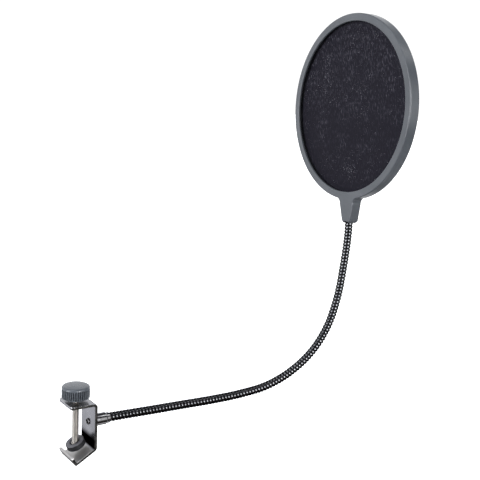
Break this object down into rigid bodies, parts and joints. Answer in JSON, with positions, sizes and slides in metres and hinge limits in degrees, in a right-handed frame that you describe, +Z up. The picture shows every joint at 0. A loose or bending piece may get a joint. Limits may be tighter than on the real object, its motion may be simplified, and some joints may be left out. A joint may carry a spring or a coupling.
{
  "type": "pop filter",
  "caption": "Round double-screen pop filter on a bendable gooseneck, with a bent steel V-jaw clamp, thumb screw and swivel pad for gripping a stand tube.",
  "frame": {"origin": "where the clamp screw's axis meets the inner face of the jaw's back leg, just under a gripped tube", "axes": "+X out of the clamp along the gooseneck's first stretch, +Z up along the clamp screw, +Y along a gripped tube"},
  "size_m": [0.2761, 0.1551, 0.3318],
  "materials": {
    "bracket_paint": "gloss black enamel",
    "ferrule_black": "gloss black",
    "screw_steel": "bright zinc plate",
    "knob_plastic": "satin dark grey",
    "pad_plastic": "matte dark grey",
    "gooseneck_steel": "black chrome",
    "hoop_plastic": "satin grey",
    "ring_plastic": "matte black",
    "screen_nylon": "fine black nylon knit"
  },
  "bodies": {
    "clamp": {"clamp_bracket": "bracket_paint", "base_ferrule": "ferrule_black", "gooseneck_base_end": "gooseneck_steel"},
    "swivel": {"pad_snap_ring": "screw_steel"},
    "screw": {"clamp_screw": "screw_steel", "knob": "knob_plastic"},
    "pad": {"clamp_pad": "pad_plastic"},
    "gooseneck_link_01": {"gooseneck_section_01": "gooseneck_steel"},
    "gooseneck_link_02": {"gooseneck_section_02": "gooseneck_steel"},
    "gooseneck_link_03": {"gooseneck_section_03": "gooseneck_steel"},
    "gooseneck_link_04": {"gooseneck_section_04": "gooseneck_steel"},
    "gooseneck_link_05": {"gooseneck_section_05": "gooseneck_steel"},
    "gooseneck_link_06": {"gooseneck_section_06": "gooseneck_steel"},
    "gooseneck_link_07": {"gooseneck_section_07": "gooseneck_steel"},
    "gooseneck_link_08": {"gooseneck_section_08": "gooseneck_steel"},
    "gooseneck_link_09": {"gooseneck_section_09": "gooseneck_steel"},
    "gooseneck_link_10": {"gooseneck_section_10": "gooseneck_steel"},
    "gooseneck_link_11": {"gooseneck_section_11": "gooseneck_steel"},
    "head": {"gooseneck_head_end": "gooseneck_steel", "neck_stud": "screw_steel", "hoop_shell": "hoop_plastic", "front_press_ring": "ring_plastic", "front_screen": "screen_nylon", "screen_spacer": "ring_plastic", "rear_screen": "screen_nylon", "rear_cover_ring": "hoop_plastic"}
  },
  "joints": [
    {"name": "screw_travel", "type": "slide", "parent": "clamp", "child": "swivel", "axis": [0, 0, 1], "range_m": [-0.0005, 0.0223]},
    {"name": "screw_spin", "type": "hinge", "parent": "swivel", "child": "screw", "pos_m": [0, 0, 0.0083], "axis": [0, 0, 1], "range_deg": [-180, 9990]},
    {"name": "pad_tilt", "type": "hinge", "parent": "swivel", "child": "pad", "pos_m": [0, 0, 0.0083], "axis": [0, 1, 0], "range_deg": [-8, 30]},
    {"name": "neck_pitch_01", "type": "hinge", "parent": "clamp", "child": "gooseneck_link_01", "pos_m": [0.03896, 0.00008, 0.02249], "axis": [0, -1, 0], "range_deg": [-20, 20]},
    {"name": "neck_yaw_02", "type": "hinge", "parent": "gooseneck_link_01", "child": "gooseneck_link_02", "pos_m": [0.06447, 0.00021, 0.02168], "axis": [0.0255, 0, 0.9997], "range_deg": [-20, 20]},
    {"name": "neck_pitch_03", "type": "hinge", "parent": "gooseneck_link_02", "child": "gooseneck_link_03", "pos_m": [0.08999, -0.00005, 0.02118], "axis": [0, -1, 0], "range_deg": [-20, 20]},
    {"name": "neck_yaw_04", "type": "hinge", "parent": "gooseneck_link_03", "child": "gooseneck_link_04", "pos_m": [0.1155, -0.00108, 0.02096], "axis": [-0.0137, 0, 0.9999], "range_deg": [-20, 20]},
    {"name": "neck_pitch_05", "type": "hinge", "parent": "gooseneck_link_04", "child": "gooseneck_link_05", "pos_m": [0.14096, -0.00256, 0.02188], "axis": [0, -1, 0], "range_deg": [-20, 20]},
    {"name": "neck_yaw_06", "type": "hinge", "parent": "gooseneck_link_05", "child": "gooseneck_link_06", "pos_m": [0.16614, -0.0046, 0.02539], "axis": [-0.2502, 0, 0.9682], "range_deg": [-20, 20]},
    {"name": "neck_pitch_07", "type": "hinge", "parent": "gooseneck_link_06", "child": "gooseneck_link_07", "pos_m": [0.18987, -0.00579, 0.03452], "axis": [0, -1, 0], "range_deg": [-20, 20]},
    {"name": "neck_yaw_08", "type": "hinge", "parent": "gooseneck_link_07", "child": "gooseneck_link_08", "pos_m": [0.2107, -0.00613, 0.04916], "axis": [-0.6803, 0, 0.7329], "range_deg": [-20, 20]},
    {"name": "neck_pitch_09", "type": "hinge", "parent": "gooseneck_link_08", "child": "gooseneck_link_09", "pos_m": [0.2268, -0.00492, 0.0688], "axis": [0, -1, 0], "range_deg": [-20, 20]},
    {"name": "neck_yaw_10", "type": "hinge", "parent": "gooseneck_link_09", "child": "gooseneck_link_10", "pos_m": [0.23765, -0.00216, 0.0917], "axis": [-0.9347, 0, 0.3554], "range_deg": [-20, 20]},
    {"name": "neck_pitch_11", "type": "hinge", "parent": "gooseneck_link_10", "child": "gooseneck_link_11", "pos_m": [0.24474, 0.0011, 0.11599], "axis": [0, -1, 0], "range_deg": [-20, 20]},
    {"name": "neck_yaw_12", "type": "hinge", "parent": "gooseneck_link_11", "child": "head", "pos_m": [0.25022, 0.00438, 0.1407], "axis": [-0.9773, 0, 0.2118], "range_deg": [-20, 20]}
  ],
  "couplings": [
    {"joint": "screw_travel", "follows": "screw_spin", "m_per_rad": 0.00012732}
  ]
}
